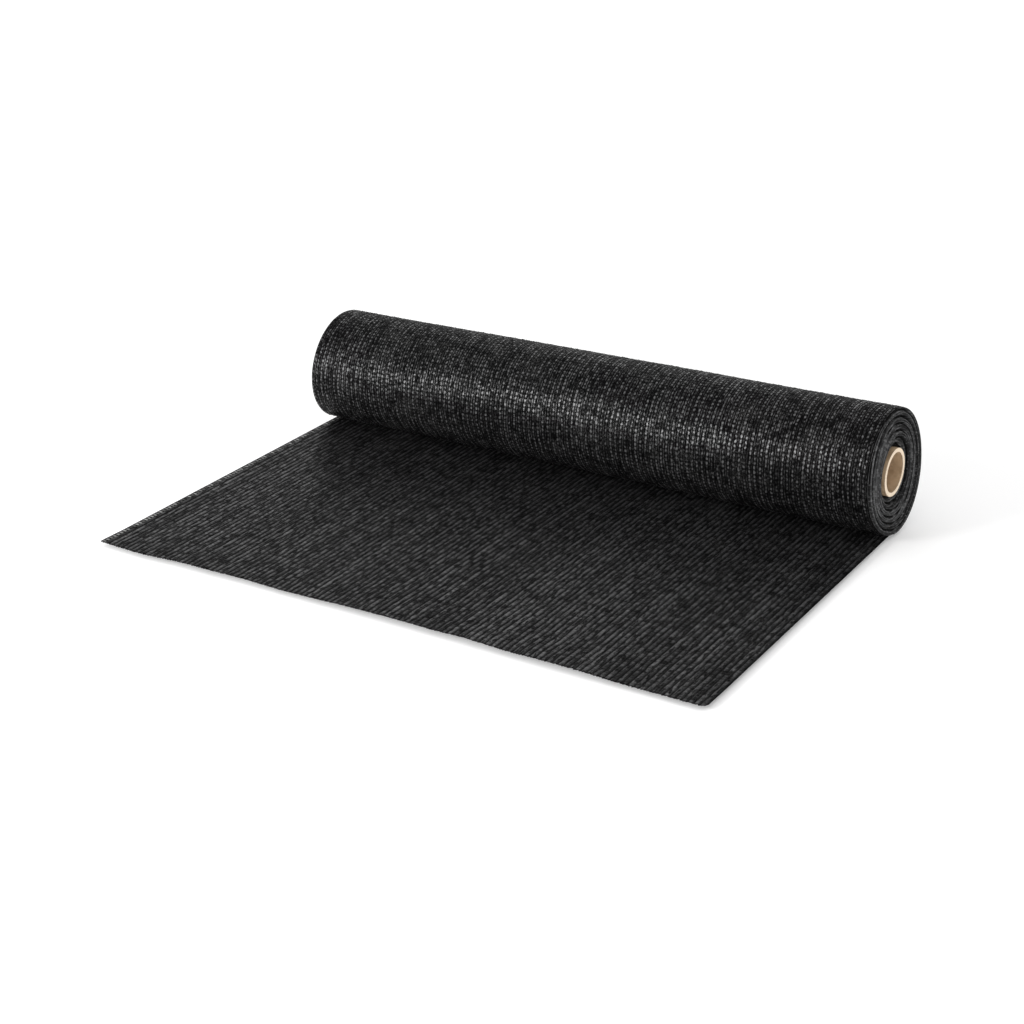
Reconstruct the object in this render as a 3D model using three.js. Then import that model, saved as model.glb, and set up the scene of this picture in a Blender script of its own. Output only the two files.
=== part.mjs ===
// A roll of knitted shade netting on a cardboard core, its loose end laid out flat in front.
// Sizes are in millimetres and +Z is up. The roll lies along X and the loose end runs towards -Y.
import * as THREE from 'three';

const TURN = 2 * Math.PI;

// Netting: the width it was knitted to, one layer of it, and the gap between pieces that touch
const WIDTH = 1000;
const LAYER = 1.5;
const GAP = 0.3;

// Wound roll: half its size, and the middle of its section, at each end and even in between
const LEFT_SECTION = { halfDepth: 89.5, halfHeight: 92.5, middle: -2.0 };
const RIGHT_SECTION = { halfDepth: 87.2, halfHeight: 98.6, middle: 5.7 };
const MEAN_RADIUS = 92;
const SETTLE = 1.0; // how far the roll has sunk onto its flat spot
const SEAM_Y = -4; // where the outer turn leaves the roll and becomes the loose end
const SEAM_STEP = 0.6; // run of the small step that this leaves under the roll
const ROLL_COLUMNS = 60;
const BODY_STEPS = 8;

// Ends of the roll: how far each sits back from the netting's full width, how far it slants from
// front to back and leans from bottom to top, and how far its outer turns have slipped out (+) or in (-)
const ROLL_ENDS = [
  { side: -1, setBack: 2.8, slant: 0.021, lean: 0.056, outerTurns: 0 },
  { side: 1, setBack: 1.6, slant: 0.064, lean: -0.060, outerTurns: -3.4 },
];
const OUTER_TURNS_DEPTH = 3.4; // thickness of the few outer turns that have slipped
const OUTER_TURNS_MIDDLE = 3.35; // the slip is greatest here, low on the front, in radians
const OUTER_TURNS_SPREAD = 1.5;
const RIM = 1.2; // rounding of the roll's edge
const DISH = 9.0; // how far the inner turns sit back at the core
const DISH_REACH = 0.34; // share of the wound thickness that the dish takes in
const BULGES = 6; // groups of turns that stand proud, as one spiral
const BULGE_HEIGHT = 1.3;
const BULGE_WANDER = 0.8;
const RINGS_PER_BULGE = 4;

// Cardboard core: its axis rises a little towards the thicker end of the roll
const CORE_OUTER_RADIUS = 37;
const CORE_INNER_RADIUS = 30.7;
const CORE_LENGTH = 996;
const CORE_EDGE = 0.6;
const CORE_AXIS = { left: { y: -2.0, z: 91.5 }, right: { y: 4.3, z: 97.4 } };
const CORE_COLUMNS = 64;

// Loose end: it has sheared a little sideways, and its cut edge lifts off the floor in low waves,
// which also set it back (+) or let it reach further (-)
const LOOSE_LENGTH = 638.5; // from under the middle of the roll to the cut edge
const SHEAR = 0.03;
const SIDE_STRIP = 7; // width of the outermost strip of facets along the two sides
const LEFT_CORNER_CUT = 0.6;
const RIGHT_CORNER_CUT = 2.6;
const EDGE_WAVES = [
  { x: -500, halfWidth: 55, reach: 60, lift: 1.0, setBack: -4.2 },
  { x: -425, halfWidth: 80, reach: 90, lift: 0.3, setBack: -6.0 },
  { x: -325, halfWidth: 110, reach: 90, lift: 1.4, setBack: -1.3 },
  { x: -235, halfWidth: 80, reach: 80, lift: 1.0, setBack: 0.8 },
  { x: 20, halfWidth: 220, reach: 130, lift: 2.4, setBack: 2.6 },
  { x: 145, halfWidth: 65, reach: 80, lift: 1.6, setBack: 1.0 },
  { x: 270, halfWidth: 130, reach: 100, lift: 2.4, setBack: 0.4 },
];
const SHEET_COLUMNS = 40;
const SHEET_ROWS = 16;
const ROW_CROWDING = 1.7; // brings the rows closer together towards the lifted edge

const clamp = (value) => Math.min(1, Math.max(0, value));
const mix = (from, to, share) => from + (to - from) * share;
const ease = (value) => clamp(value) ** 2 * (3 - 2 * clamp(value));

// A smooth hump of height 1 that is nothing at all from one unit away
function hump(distance) {
  return Math.abs(distance) < 1 ? (1 - distance ** 2) ** 2 : 0;
}

function netting() {
  return new THREE.MeshStandardMaterial({ color: 0x29292b, roughness: 0.6, metalness: 0 });
}

function cardboard() {
  return new THREE.MeshStandardMaterial({ color: 0xb5946b, roughness: 0.85, metalness: 0 });
}

function meshFrom(name, vertices, faces, material) {
  const geometry = new THREE.BufferGeometry();
  geometry.setAttribute('position', new THREE.Float32BufferAttribute(vertices.flat(), 3));
  geometry.setIndex(faces.flat());
  geometry.computeVertexNormals();
  const mesh = new THREE.Mesh(geometry, material);
  mesh.name = name;
  return mesh;
}

// A closed skin whose rings and columns both run round and meet themselves
function ringSkin(rings, columns, pointAt) {
  const vertices = [];
  const faces = [];
  for (let ring = 0; ring < rings; ring += 1) {
    const next = (ring + 1) % rings;
    for (let column = 0; column < columns; column += 1) {
      const beside = (column + 1) % columns;
      vertices.push(pointAt(ring, column));
      faces.push([ring * columns + column, ring * columns + beside, next * columns + beside]);
      faces.push([ring * columns + column, next * columns + beside, next * columns + column]);
    }
  }
  return { vertices, faces };
}

// The middle of the core at a place along the roll
function coreAxis(x) {
  const share = x / WIDTH + 0.5;
  return {
    y: mix(CORE_AXIS.left.y, CORE_AXIS.right.y, share),
    z: mix(CORE_AXIS.left.z, CORE_AXIS.right.z, share),
  };
}

function onCore(x, radius, angle) {
  const middle = coreAxis(x);
  return [x, middle.y + radius * Math.cos(angle), middle.z + radius * Math.sin(angle)];
}

// Wound roll

const SEAM_ANGLE = -Math.PI / 2 + Math.asin(SEAM_Y / MEAN_RADIUS);
const COLUMN_ANGLE = (TURN - SEAM_STEP / MEAN_RADIUS) / (ROLL_COLUMNS - 1);
const BORE_RADIUS = (CORE_OUTER_RADIUS + GAP) / Math.cos(COLUMN_ANGLE / 2);
const SLIP_WALL = 0.1; // share of the outer turns taken up by the wall where they have slipped
const RIM_START = 1 - RIM / OUTER_TURNS_DEPTH;

const rollAngle = (column) => SEAM_ANGLE + COLUMN_ANGLE * column;

// The roll's section at a place across the width, from -1 to 1
function sectionAt(across) {
  const share = (across + 1) / 2;
  return {
    halfDepth: mix(LEFT_SECTION.halfDepth, RIGHT_SECTION.halfDepth, share),
    halfHeight: mix(LEFT_SECTION.halfHeight, RIGHT_SECTION.halfHeight, share),
    middle: mix(LEFT_SECTION.middle, RIGHT_SECTION.middle, share),
  };
}

function sectionPoint(across, column, scale) {
  const { halfDepth, halfHeight, middle } = sectionAt(across);
  const y = middle + halfDepth * scale * Math.cos(rollAngle(column));
  const z = halfHeight - SETTLE + halfHeight * scale * Math.sin(rollAngle(column));
  return { y, z };
}

// The outer turn winds inwards by one layer, and rests on the floor behind the seam
// and on the loose end in front of it
function outlineAt(across, column) {
  const wound = 1 - (LAYER / MEAN_RADIUS) * (column / (ROLL_COLUMNS - 1));
  const lowest = column < ROLL_COLUMNS / 2 ? 0 : LAYER + GAP;
  const { y, z } = sectionPoint(across, column, wound);
  return { y, z: Math.max(z, lowest) };
}

function outerTurnsSlip(end, column) {
  return end.outerTurns * hump((rollAngle(column) - OUTER_TURNS_MIDDLE) / OUTER_TURNS_SPREAD);
}

// How far the inner turns' edges stand out from the end of the roll,
// from the core (0) to the outer turns (1)
function innerRelief(end, share, column) {
  const angle = rollAngle(column);
  const spiral = TURN * BULGES * share - angle;
  const wander = BULGE_WANDER * Math.sin(2 * angle + end.side);
  const fade = ease(share * BULGES) * ease((1 - share) * BULGES);
  const dish = DISH * (1 - ease(share / DISH_REACH));
  return BULGE_HEIGHT * fade * Math.cos(spiral + wander) - dish;
}

// The place along X of a point on an end that stands out by some distance. The end's slant and
// lean come in with the share of the way from the core to the rim.
function faceX(end, y, z, share, out) {
  const { halfHeight, middle } = sectionAt(end.side);
  const turned = end.slant * (y - middle) + end.lean * (z - halfHeight + SETTLE);
  return end.side * (WIDTH / 2 - end.setBack + out) + turned * share;
}

function innerTurnsAt(end, column) {
  return sectionPoint(end.side, column, 1 - OUTER_TURNS_DEPTH / MEAN_RADIUS);
}

function innerPoint(end, share, column) {
  const edge = innerTurnsAt(end, column);
  const relief = innerRelief(end, share, column);
  const x = faceX(end, edge.y, edge.z, share, relief);
  const [, boreY, boreZ] = onCore(x, BORE_RADIUS, rollAngle(column));
  return [x, mix(boreY, edge.y, share), mix(boreZ, edge.z, share)];
}

// A point on the outer turns, from the inner ones (0) to the rim (1)
function outerPoint(end, share, column, drawnIn) {
  const edge = innerTurnsAt(end, column);
  const rim = outlineAt(end.side, column);
  const y = mix(edge.y, rim.y, share);
  const z = mix(edge.z, rim.z, share);
  return [faceX(end, y, z, 1, outerTurnsSlip(end, column) - drawnIn), y, z];
}

function bodyPoint(across, column) {
  const outline = outlineAt(across, column);
  return [across * WIDTH / 2, outline.y, outline.z];
}

function endRings(end) {
  const inner = BULGES * RINGS_PER_BULGE;
  return [
    ...Array.from({ length: inner + 1 }, (_, ring) => (column) => innerPoint(end, ring / inner, column)),
    (column) => outerPoint(end, SLIP_WALL, column, 0),
    (column) => outerPoint(end, RIM_START, column, 0),
    (column) => outerPoint(end, 1, column, RIM),
  ];
}

function bodyRings() {
  return Array.from({ length: BODY_STEPS - 1 }, (_, step) => {
    const across = -1 + 2 * (step + 1) / BODY_STEPS;
    return (column) => bodyPoint(across, column);
  });
}

function makeRoll() {
  const [left, right] = ROLL_ENDS;
  const rings = [...endRings(left), ...bodyRings(), ...endRings(right).reverse()];
  const skin = ringSkin(rings.length, ROLL_COLUMNS, (ring, column) => rings[ring](column));
  return meshFrom('netting_roll', skin.vertices, skin.faces, netting());
}

// Cardboard core

function makeCore() {
  const end = CORE_LENGTH / 2;
  const profile = [
    { x: -end + CORE_EDGE, radius: CORE_INNER_RADIUS },
    { x: -end, radius: CORE_INNER_RADIUS + CORE_EDGE },
    { x: -end, radius: CORE_OUTER_RADIUS - CORE_EDGE },
    { x: -end + CORE_EDGE, radius: CORE_OUTER_RADIUS },
    { x: end - CORE_EDGE, radius: CORE_OUTER_RADIUS },
    { x: end, radius: CORE_OUTER_RADIUS - CORE_EDGE },
    { x: end, radius: CORE_INNER_RADIUS + CORE_EDGE },
    { x: end - CORE_EDGE, radius: CORE_INNER_RADIUS },
  ];
  const skin = ringSkin(profile.length, CORE_COLUMNS, (ring, column) => {
    const { x, radius } = profile[ring];
    return onCore(x, radius, TURN * column / CORE_COLUMNS);
  });
  return meshFrom('core_tube', skin.vertices, skin.faces, cardboard());
}

// Loose end

const REAR_FROM_MIDDLE = SEAM_Y - SEAM_STEP - GAP;
const CUT_EDGE = -LOOSE_LENGTH;

function sheetX(column) {
  if (column === 0 || column === SHEET_COLUMNS) {
    return column === 0 ? -WIDTH / 2 : WIDTH / 2;
  }
  return mix(-WIDTH / 2 + SIDE_STRIP, WIDTH / 2 - SIDE_STRIP, (column - 1) / (SHEET_COLUMNS - 2));
}

// The rows start along the seam under the roll and end at the cut edge
function sheetY(x, row) {
  const rear = sectionAt(2 * x / WIDTH).middle + REAR_FROM_MIDDLE;
  const share = 1 - (1 - row / SHEET_ROWS) ** ROW_CROWDING;
  return mix(rear, CUT_EDGE, share);
}

// How far a place is drawn in to round off its corner of the cut edge
function cornerCut(column, row) {
  if (row === SHEET_ROWS && column === 0) {
    return LEFT_CORNER_CUT;
  }
  return row === SHEET_ROWS && column === SHEET_COLUMNS ? RIGHT_CORNER_CUT : 0;
}

// The floor side of the loose end, where the waves lift its cut edge and set it back
function undersideAt(column, row) {
  const cut = cornerCut(column, row);
  const x = sheetX(column);
  const y = sheetY(x, row);
  let lift = 0;
  let setBack = 0;
  for (const wave of EDGE_WAVES) {
    const share = hump((x - wave.x) / wave.halfWidth) * hump((y - CUT_EDGE) / wave.reach);
    lift += wave.lift * share;
    setBack += wave.setBack * share;
  }
  return [x - Math.sign(x) * cut - SHEAR * y, y + setBack + cut, lift];
}

function raised([x, y, z]) {
  return [x, y, z + LAYER];
}

// Places round the border of the loose end, anticlockwise as seen from above
function borderPlaces() {
  const along = (count, placeAt) => Array.from({ length: count }, (_, step) => placeAt(step));
  return [
    ...along(SHEET_COLUMNS, (step) => [step, SHEET_ROWS]),
    ...along(SHEET_ROWS, (step) => [SHEET_COLUMNS, SHEET_ROWS - step]),
    ...along(SHEET_COLUMNS, (step) => [SHEET_COLUMNS - step, 0]),
    ...along(SHEET_ROWS, (step) => [0, step]),
  ];
}

function makeLooseEnd() {
  const count = (SHEET_COLUMNS + 1) * (SHEET_ROWS + 1);
  const under = ([column, row]) => row * (SHEET_COLUMNS + 1) + column;
  const over = (place) => count + under(place);
  const underside = [];
  const faces = [];
  for (let row = 0; row <= SHEET_ROWS; row += 1) {
    for (let column = 0; column <= SHEET_COLUMNS; column += 1) {
      underside.push(undersideAt(column, row));
    }
  }
  for (let row = 0; row < SHEET_ROWS; row += 1) {
    for (let column = 0; column < SHEET_COLUMNS; column += 1) {
      const rear = [[column, row], [column + 1, row]];
      const front = [[column, row + 1], [column + 1, row + 1]];
      faces.push([over(front[0]), over(front[1]), over(rear[1])]);
      faces.push([over(front[0]), over(rear[1]), over(rear[0])]);
      faces.push([under(front[0]), under(rear[1]), under(front[1])]);
      faces.push([under(front[0]), under(rear[0]), under(rear[1])]);
    }
  }
  const border = borderPlaces();
  border.forEach((place, index) => {
    const next = border[(index + 1) % border.length];
    faces.push([under(place), under(next), over(next)]);
    faces.push([under(place), over(next), over(place)]);
  });
  return meshFrom('loose_end', [...underside, ...underside.map(raised)], faces, netting());
}

// The frame's origin lies on the floor under the middle of the whole part
function centredOnFloor(pieces) {
  const group = new THREE.Group();
  group.add(...pieces);
  const box = new THREE.Box3().setFromObject(group);
  const middle = box.getCenter(new THREE.Vector3());
  group.position.set(-middle.x, -middle.y, -box.min.z);
  return group;
}

const part = centredOnFloor([makeRoll(), makeCore(), makeLooseEnd()]);

export default part;
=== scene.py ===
"""Looks of a roll of knitted shade netting on a cardboard core, with its loose end laid out.

Sizes are in metres in the part's own frame: +X runs along the roll, the loose end runs towards -Y,
and +Z is up from the floor.
"""
import logging
import math
from dataclasses import dataclass, field
from enum import Enum

import bpy
import numpy as np
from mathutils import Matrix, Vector


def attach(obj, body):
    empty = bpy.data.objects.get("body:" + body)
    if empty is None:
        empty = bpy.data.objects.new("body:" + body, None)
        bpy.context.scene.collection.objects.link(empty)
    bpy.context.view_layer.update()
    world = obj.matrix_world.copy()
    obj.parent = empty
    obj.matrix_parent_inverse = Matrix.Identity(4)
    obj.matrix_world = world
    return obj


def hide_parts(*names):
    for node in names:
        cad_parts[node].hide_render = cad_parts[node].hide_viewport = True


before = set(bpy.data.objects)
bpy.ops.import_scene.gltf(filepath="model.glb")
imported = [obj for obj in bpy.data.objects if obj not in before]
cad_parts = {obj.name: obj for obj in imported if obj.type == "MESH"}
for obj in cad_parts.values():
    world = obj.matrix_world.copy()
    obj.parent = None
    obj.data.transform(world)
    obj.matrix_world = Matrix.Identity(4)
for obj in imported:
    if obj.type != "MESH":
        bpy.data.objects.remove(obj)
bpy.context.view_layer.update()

MM = 0.001
TURN = 2 * math.pi
ROLL_MIDDLE = (-0.008162, 0.275968)
PATTERN_MAP = "Knit"
BAKE_MAP = "OFBake"
CORE_LEFT = (-0.0020, 0.0915)
CORE_RIGHT = (0.0043, 0.0974)
CHAIN_AT, SADDLE_AT, TAPES_AT = 0.25, 0.50, 0.74

Array = np.ndarray
Socket = bpy.types.NodeSocket
Tree = bpy.types.NodeTree
Material = bpy.types.Material
Triple = tuple[float, float, float]

log = logging.getLogger("shade_netting")


class Side(Enum):
    """The two ends of the roll, as seen from in front."""

    LEFT = -1
    RIGHT = 1


# Shapes of numbers


def ease(value: Array) -> Array:
    """Smooth step: three times the square less twice the cube of the value, held between 0 and 1.

    Args:
        value: shares, of any size.

    Returns:
        The eased shares, from 0 to 1.
    """
    held = np.clip(value, 0.0, 1.0)
    return held * held * (3 - 2 * held)


def hump(distance: Array) -> Array:
    """Smooth hump: the square of one less the squared distance, and nothing from one unit away.

    Args:
        distance: how far each place is from the middle of the hump, in units of its reach.

    Returns:
        The height of the hump, from 0 to 1.
    """
    return np.clip(1 - np.square(distance), 0.0, None) ** 2


def drift(first: Array, second: Array, seed: int) -> Array:
    """Smooth chance: random values on a square lattice, with an eased mix between the four nearest.

    Args:
        first: place along one way, in lattice steps.
        second: place along the other way, in lattice steps.
        seed: picks the lattice's random values.

    Returns:
        Values that change smoothly, from -1 to 1.
    """
    lattice = np.random.default_rng(seed).uniform(-1, 1, (257, 257))
    first, second = np.broadcast_arrays(first, second)
    low_first = np.floor(first).astype(int)
    low_second = np.floor(second).astype(int)
    share_first = ease(first - low_first)
    share_second = ease(second - low_second)
    near = lattice[low_first % 257, low_second % 257]
    beside = lattice[(low_first + 1) % 257, low_second % 257]
    above = lattice[low_first % 257, (low_second + 1) % 257]
    across = lattice[(low_first + 1) % 257, (low_second + 1) % 257]
    lower = near + (beside - near) * share_first
    upper = above + (across - above) * share_first
    return lower + (upper - lower) * share_second


def paired(first: Array, second: Array) -> Array:
    """Two sets of numbers, stretched to one size, as the two coordinates of a map."""
    return np.stack(np.broadcast_arrays(first, second), axis=-1)


class Surface:
    """A mesh put together from grids of points whose shared borders are welded."""

    def __init__(self, name: str) -> None:
        """Starts an empty surface.

        Args:
            name: the name of the piece.
        """
        self.name = name
        self.points: list[Array] = []
        self.faces: list[Array] = []
        self.patterns: list[Array] = []
        self.bakes: list[Array] = []
        self.finishes: list[Array] = []
        self.count = 0

    def add(self, points: Array, pattern: Array, bake: Array,
            flip: bool = False, finish: int = 0) -> None:
        """Adds one grid of points, or a stack of grids of the same size.

        Args:
            points: places, with the last three axes row, column and coordinate.
            pattern: place of each point in the knit's own map, with u and v last.
            bake: place of each point in the map that pictures are baked through.
            flip: turns the faces round.
            finish: which of the piece's materials the faces take.
        """
        rows, columns = points.shape[-3:-1]
        stack = points.reshape(-1, rows, columns, 3)
        index = np.arange(stack.shape[0] * rows * columns).reshape(-1, rows, columns)
        corners = [index[:, :-1, :-1], index[:, :-1, 1:], index[:, 1:, 1:], index[:, 1:, :-1]]
        if flip:
            corners.reverse()
        quads = np.stack(corners, axis=-1).reshape(-1, 4)
        self.place(stack.reshape(-1, 3), quads, pattern.reshape(-1, 2), bake.reshape(-1, 2), finish)

    def place(self, points: Array, faces: Array, pattern: Array, bake: Array,
              finish: int = 0) -> None:
        """Adds faces given by their corners.

        Args:
            points: places, one to a row.
            faces: numbers of the corners in points, all faces with as many corners.
            pattern: place of each point in the knit's own map.
            bake: place of each point in the map that pictures are baked through.
            finish: which of the piece's materials the faces take.
        """
        self.points.append(points)
        self.faces.append(faces + self.count)
        self.patterns.append(pattern)
        self.bakes.append(bake)
        self.finishes.append(np.full(len(faces), finish))
        self.count += len(points)

    def build(self, materials: list[Material]) -> bpy.types.Object:
        """Welds the grids and makes the piece.

        Args:
            materials: the piece's materials, in the order of their numbers.

        Returns:
            The new object, at the origin, with both maps.
        """
        points = np.concatenate(self.points)
        pattern = np.concatenate(self.patterns)
        bake = np.concatenate(self.bakes)
        keys = np.round(points * 1e7).astype(np.int64)
        _, first, merged = np.unique(keys, axis=0, return_index=True, return_inverse=True)
        merged = merged.ravel()
        corners, starts, finishes, total = [], [], [], 0
        for faces, finish in zip(self.faces, self.finishes):
            welded = merged[faces]
            whole = (welded != np.roll(welded, 1, axis=1)).all(axis=1)
            corners.append(faces[whole].ravel())
            starts.append(total + faces.shape[1] * np.arange(whole.sum()))
            finishes.append(finish[whole])
            total += faces.shape[1] * int(whole.sum())
        corner = np.concatenate(corners)
        mesh = bpy.data.meshes.new(self.name)
        mesh.vertices.add(len(first))
        mesh.vertices.foreach_set("co", points[first].astype(np.float32).ravel())
        mesh.loops.add(total)
        mesh.loops.foreach_set("vertex_index", merged[corner].astype(np.int32))
        mesh.polygons.add(sum(len(start) for start in starts))
        mesh.polygons.foreach_set("loop_start", np.concatenate(starts).astype(np.int32))
        mesh.polygons.foreach_set("material_index", np.concatenate(finishes).astype(np.int32))
        mesh.update(calc_edges=True)
        mesh.polygons.foreach_set("use_smooth", np.ones(len(mesh.polygons), dtype=bool))
        for name, values in ((PATTERN_MAP, pattern), (BAKE_MAP, bake)):
            layer = mesh.uv_layers.new(name=name)
            layer.uv.foreach_set("vector", values[corner].astype(np.float32).ravel())
        for material in materials:
            mesh.materials.append(material)
        piece = bpy.data.objects.new(self.name, mesh)
        bpy.context.scene.collection.objects.link(piece)
        return piece


# Materials


class Wiring:
    """Adds nodes to a node tree and joins them."""

    def __init__(self, tree: Tree) -> None:
        """Works on one tree.

        Args:
            tree: the node tree of a material, a world or a group.
        """
        self.tree = tree

    def node(self, kind: str, inputs: dict | None = None, **settings: object) -> bpy.types.Node:
        """Adds one node.

        Args:
            kind: Blender's name for the node's type.
            inputs: values or sockets for its inputs, by name or number.
            settings: properties of the node.

        Returns:
            The new node.
        """
        made = self.tree.nodes.new(kind)
        for name, value in settings.items():
            setattr(made, name, value)
        for name, value in (inputs or {}).items():
            self.feed(made.inputs[name], value)
        return made

    def feed(self, socket: Socket, value: object) -> None:
        """Joins a socket to an input, or sets the input's own value.

        Args:
            socket: the input.
            value: an output socket, a number or a list of numbers.
        """
        if isinstance(value, Socket):
            self.tree.links.new(value, socket)
        else:
            socket.default_value = value

    def math(self, operation: str, *values: object, clamp: bool = False) -> Socket:
        """One sum on numbers.

        Args:
            operation: the operation's name.
            values: what it works on, as numbers or sockets.
            clamp: holds the result between 0 and 1.

        Returns:
            The result's socket.
        """
        inputs = dict(enumerate(values))
        return self.node("ShaderNodeMath", inputs, operation=operation, use_clamp=clamp).outputs[0]

    def times(self, *values: object, clamp: bool = False) -> Socket:
        """The first value times the second."""
        return self.math("MULTIPLY", *values, clamp=clamp)

    def times_plus(self, value: object, factor: object, rest: object) -> Socket:
        """The value times the factor, plus the rest."""
        return self.math("MULTIPLY_ADD", value, factor, rest)

    def less(self, value: object, taken: object) -> Socket:
        """The value less what is taken from it."""
        return self.math("SUBTRACT", value, taken)

    def away(self, value: object, middle: object) -> Socket:
        """How far the value is from the middle, without its sign."""
        return self.math("ABSOLUTE", self.less(value, middle))

    def dust(self, lint: Tree, scale: float, amount: float) -> Socket:
        """The mask of the lint group, at its own scale and amount, over the whole object."""
        whole = self.node("ShaderNodeTexCoord").outputs["Object"]
        inputs = {"Vector": whole, "Scale": scale, "Amount": amount}
        made = self.node("ShaderNodeGroup", {}, node_tree=lint)
        for label, value in inputs.items():
            self.feed(made.inputs[label], value)
        return made.outputs["Mask"]

    def step(self, value: object, low: float, high: float, start: object = 0.0,
             end: object = 1.0) -> Socket:
        """Eased change from start to end as value goes from low to high.

        Args:
            value: the number that is followed.
            low: where the change starts.
            high: where it ends.
            start: result up to low.
            end: result from high on.

        Returns:
            The result's socket.
        """
        inputs = {0: value, 1: low, 2: high, 3: start, 4: end}
        return self.node("ShaderNodeMapRange", inputs, interpolation_type="SMOOTHSTEP").outputs[0]

    def colour(self, share: object, first: object, second: object,
               blend: str = "MIX") -> Socket:
        """Mixes two colours.

        Args:
            share: how much of the second colour there is.
            first: the first colour.
            second: the second colour.
            blend: how they are mixed.

        Returns:
            The colour's socket.
        """
        made = self.node("ShaderNodeMix", {0: share, 6: first, 7: second}, data_type="RGBA",
                         blend_type=blend)
        return made.outputs[2]

    def noise(self, vector: Socket, scale: float, detail: float = 2.0,
              roughness: float = 0.5) -> Socket:
        """Smooth noise from about 0.3 to 0.7.

        Args:
            vector: the coordinates that it follows.
            scale: how many lumps there are in a unit.
            detail: how many finer layers it has.
            roughness: how strong the finer layers are.

        Returns:
            The noise value's socket.
        """
        inputs = {"Vector": vector, "Scale": scale, "Detail": detail, "Roughness": roughness}
        return self.node("ShaderNodeTexNoise", inputs).outputs[0]


def colour_of(red: float, green: float, blue: float) -> list[float]:
    """A linear colour as the four numbers that Blender takes."""
    return [red, green, blue, 1.0]


def new_group(name: str, inputs: dict[str, tuple[str, object]],
              outputs: dict[str, str]) -> tuple[Tree, Wiring, dict, dict]:
    """Starts a shader node group.

    Args:
        name: the group's name.
        inputs: kind and first value of each input, by name.
        outputs: kind of each output, by name.

    Returns:
        The tree, its wiring, its input sockets by name and its output sockets by name.
    """
    tree = bpy.data.node_groups.new(name, "ShaderNodeTree")
    for label, (kind, value) in inputs.items():
        made = tree.interface.new_socket(label, in_out="INPUT", socket_type=kind)
        if value is not None:
            made.default_value = value
    for label, kind in outputs.items():
        tree.interface.new_socket(label, in_out="OUTPUT", socket_type=kind)
    wiring = Wiring(tree)
    entry = wiring.node("NodeGroupInput")
    leaving = wiring.node("NodeGroupOutput")
    given = {label: entry.outputs[label] for label in inputs}
    put = {label: leaving.inputs[label] for label in outputs}
    return tree, wiring, given, put


def knit_group() -> Tree:
    """The knit: in each wale one chain of loops and beside it one bundle of flat tapes.

    The pattern vector counts wales along X and stitches along Y. Noise sways the wales. A chain
    lies a quarter of the way across its wale and the tapes three quarters. A bead is a half
    sine along one stitch, with its start shifted by chance for each wale.

    Returns:
        A group that puts out the relief, the chains, the tapes, the beads, dark dashes, chance
        values for each stitch and each wale, and a short grain along the wales.
    """
    tree, w, given, put = new_group(
        "Knit stitches",
        {"Vector": ("NodeSocketVector", None), "Sway": ("NodeSocketFloat", 0.22),
         "Chain Width": ("NodeSocketFloat", 0.26), "Tape Width": ("NodeSocketFloat", 0.15)},
        dict.fromkeys(("Height", "Chain", "Tape", "Bead", "Dash", "Chance", "Wale Chance", "Grain"),
                      "NodeSocketFloat"),
    )
    vector = given["Vector"]
    slow = w.node("ShaderNodeMapping", {"Vector": vector, "Scale": (0.45, 0.22, 1.0)}).outputs[0]
    sway = w.less(w.noise(slow, 1.0, 3.0, 0.6), 0.5)
    axes = w.node("ShaderNodeSeparateXYZ", {0: vector})
    across = w.times_plus(sway, given["Sway"], axes.outputs[0])
    wale = w.math("FLOOR", across)
    side = w.math("FRACT", across)
    white = "ShaderNodeTexWhiteNoise"
    wale_chance = w.node(white, {"W": wale}, noise_dimensions="1D").outputs["Value"]
    along = w.times_plus(wale_chance, 0.35, axes.outputs[1])
    stitch = w.math("FLOOR", along)
    place = w.math("FRACT", along)
    cell = w.node("ShaderNodeCombineXYZ", {0: wale, 1: stitch}).outputs[0]
    chance = w.node(white, {"Vector": cell}, noise_dimensions="3D")
    parts = w.node("ShaderNodeSeparateColor", {0: chance.outputs["Color"]})
    from_chain = w.away(side, CHAIN_AT)
    chain = w.step(w.math("DIVIDE", from_chain, given["Chain Width"]), 0.35, 1.0, 1.0, 0.0)
    from_tape = w.away(side, TAPES_AT)
    tape = w.step(w.math("DIVIDE", from_tape, given["Tape Width"]), 0.35, 1.0, 1.0, 0.0)
    bead = w.step(w.math("SINE", w.times(place, math.pi)), 0.45, 0.98)
    long_map = w.node("ShaderNodeMapping", {"Vector": vector, "Scale": (2.3, 0.42, 1.0)}).outputs[0]
    dash = w.step(w.noise(long_map, 1.0, 2.0, 0.55), 0.49, 0.60)
    short_map = w.node("ShaderNodeMapping", {"Vector": vector, "Scale": (2.7, 1.6, 1.0)}).outputs[0]
    grain = w.step(w.noise(short_map, 1.0, 2.0, 0.6), 0.40, 0.62)
    tilt = w.times(w.less(place, 0.5), w.less(parts.outputs[0], 0.5))
    lean = w.times(w.less(side, 0.5), w.less(parts.outputs[1], 0.5))
    body = w.times(chain, w.times_plus(bead, 0.6, 0.4))
    body = w.math("ADD", body, w.times(tape, 0.55))
    body = w.less(body, w.times(dash, 0.35))
    relief = w.math("ADD", body, w.times(w.math("ADD", tilt, lean), 0.7))
    results = {"Height": relief, "Chain": chain, "Tape": tape, "Bead": bead, "Dash": dash,
               "Chance": parts.outputs[2], "Wale Chance": wale_chance, "Grain": grain}
    for label, result in results.items():
        w.feed(put[label], result)
    return tree


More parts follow.
